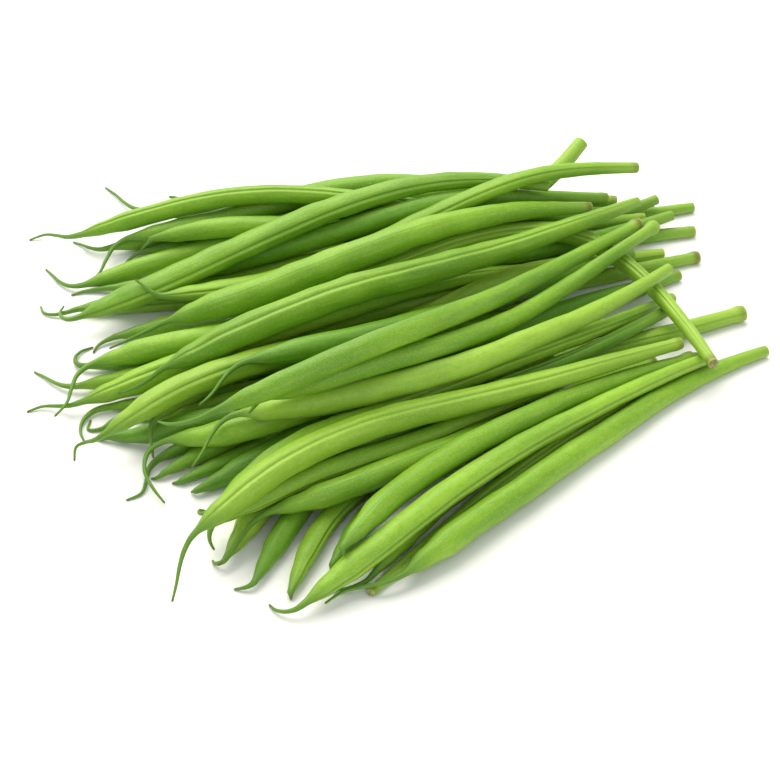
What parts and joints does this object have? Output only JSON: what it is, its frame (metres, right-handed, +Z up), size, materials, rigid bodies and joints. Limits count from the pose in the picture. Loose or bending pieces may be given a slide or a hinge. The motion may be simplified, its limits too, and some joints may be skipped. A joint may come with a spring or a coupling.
{
  "type": "green bean bundle",
  "caption": "Heap of whole fresh green beans lying one way, stem ends gathered and thin curled beaks fanned out, resting on its underside.",
  "frame": {"origin": "middle of the heap's box, on the surface it lies on", "axes": "+X along the beans, towards the stem ends; +Y towards the back of the fan; +Z up"},
  "size_m": [0.2168, 0.1784, 0.0369],
  "materials": {
    "light_green": "fresh bean skin, satin, yellow green",
    "mid_green": "fresh bean skin, satin, leaf green",
    "dark_green": "fresh bean skin, satin, deep green"
  },
  "bodies": {
    "root": {"bean_01": "mid_green", "bean_02": "mid_green", "bean_03": "mid_green", "bean_04": "light_green", "bean_05": "dark_green", "bean_06": "light_green", "bean_07": "dark_green", "bean_08": "light_green", "bean_09": "mid_green", "bean_10": "dark_green", "bean_11": "mid_green", "bean_12": "dark_green", "bean_13": "dark_green", "bean_14": "mid_green", "bean_15": "mid_green", "bean_16": "light_green", "bean_17": "dark_green", "bean_18": "mid_green", "bean_19": "mid_green", "bean_20": "mid_green", "bean_21": "mid_green", "bean_22": "dark_green", "bean_23": "mid_green", "bean_24": "dark_green", "bean_25": "mid_green", "bean_26": "mid_green", "bean_27": "mid_green", "bean_28": "dark_green", "bean_29": "light_green", "bean_30": "dark_green", "bean_31": "dark_green", "bean_32": "light_green", "bean_33": "light_green", "bean_34": "mid_green", "bean_35": "mid_green", "bean_36": "mid_green", "bean_37": "dark_green", "bean_38": "mid_green", "bean_39": "mid_green", "bean_40": "light_green", "bean_41": "mid_green", "bean_42": "mid_green", "bean_43": "mid_green", "bean_44": "mid_green", "bean_45": "dark_green", "bean_46": "dark_green", "bean_47": "mid_green", "bean_48": "dark_green", "bean_49": "mid_green", "bean_50": "mid_green", "bean_51": "light_green", "bean_52": "mid_green", "bean_53": "mid_green", "bean_54": "mid_green", "bean_55": "light_green", "bean_56": "mid_green", "bean_57": "mid_green"}
  },
  "joints": []
}
